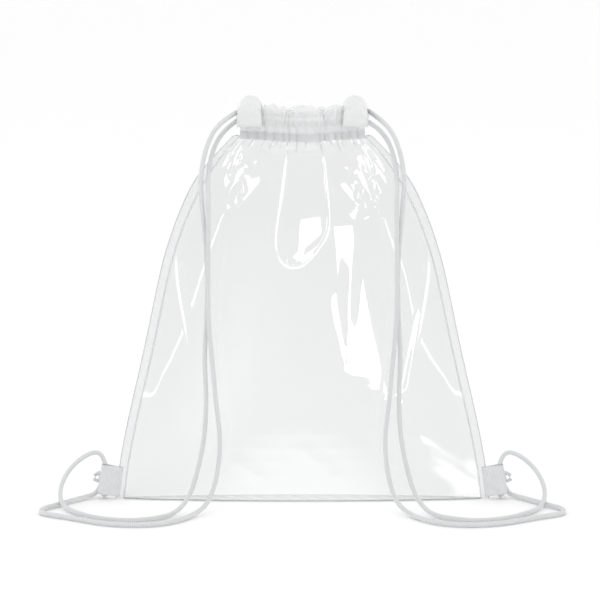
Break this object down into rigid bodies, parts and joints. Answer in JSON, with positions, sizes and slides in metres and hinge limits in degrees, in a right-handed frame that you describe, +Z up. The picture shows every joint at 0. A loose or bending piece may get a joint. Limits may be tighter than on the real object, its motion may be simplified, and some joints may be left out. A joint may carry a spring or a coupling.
{
  "type": "drawstring backpack",
  "caption": "Clear film drawstring bag with a gathered cord channel, ribbon patches, corner tabs and two shoulder cords.",
  "frame": {"origin": "on the floor under the middle of the bag, measured without the free cords", "axes": "+X to the right in the front view, -Y to the front, where the cords hang, and +Z up"},
  "size_m": [0.491, 0.1695, 0.3845],
  "materials": {
    "film": "clear glossy soft film",
    "hem_film": "clear glossy film, doubled and creased",
    "seam_film": "clear film, welded double",
    "ribbon": "white satin ribbon",
    "cord": "white braided cord",
    "thread": "white sewing thread"
  },
  "bodies": {
    "bag": {"front_panel": "film", "back_panel": "film", "bottom_seam": "seam_film", "front_hem": "hem_film", "back_hem": "hem_film", "left_side_seam": "seam_film", "left_corner_tab": "ribbon", "left_tab_stitching": "thread", "left_channel_cord": "cord", "left_upper_strand": "cord", "left_lower_strand": "cord", "left_loop_cord": "cord", "left_cord_knot": "cord", "right_side_seam": "seam_film", "right_corner_tab": "ribbon", "right_tab_stitching": "thread", "right_channel_cord": "cord", "right_upper_strand": "cord", "right_lower_strand": "cord", "right_loop_cord": "cord", "right_cord_knot": "cord"},
    "left_gather": {"left_hem_patch": "ribbon", "left_patch_stitching": "thread"},
    "right_gather": {"right_hem_patch": "ribbon", "right_patch_stitching": "thread"}
  },
  "joints": [
    {"name": "left_gather_slide", "type": "slide", "parent": "bag", "child": "left_gather", "axis": [1, 0, 0], "range_m": [0, 0.026], "deforming": ["front_hem", "back_hem", "left_channel_cord", "right_channel_cord"]},
    {"name": "right_gather_slide", "type": "slide", "parent": "bag", "child": "right_gather", "axis": [-1, 0, 0], "range_m": [0, 0.026], "deforming": ["front_hem", "back_hem", "left_channel_cord", "right_channel_cord"]}
  ],
  "couplings": [
    {"joint": "right_gather_slide", "follows": "left_gather_slide", "ratio": 1}
  ]
}
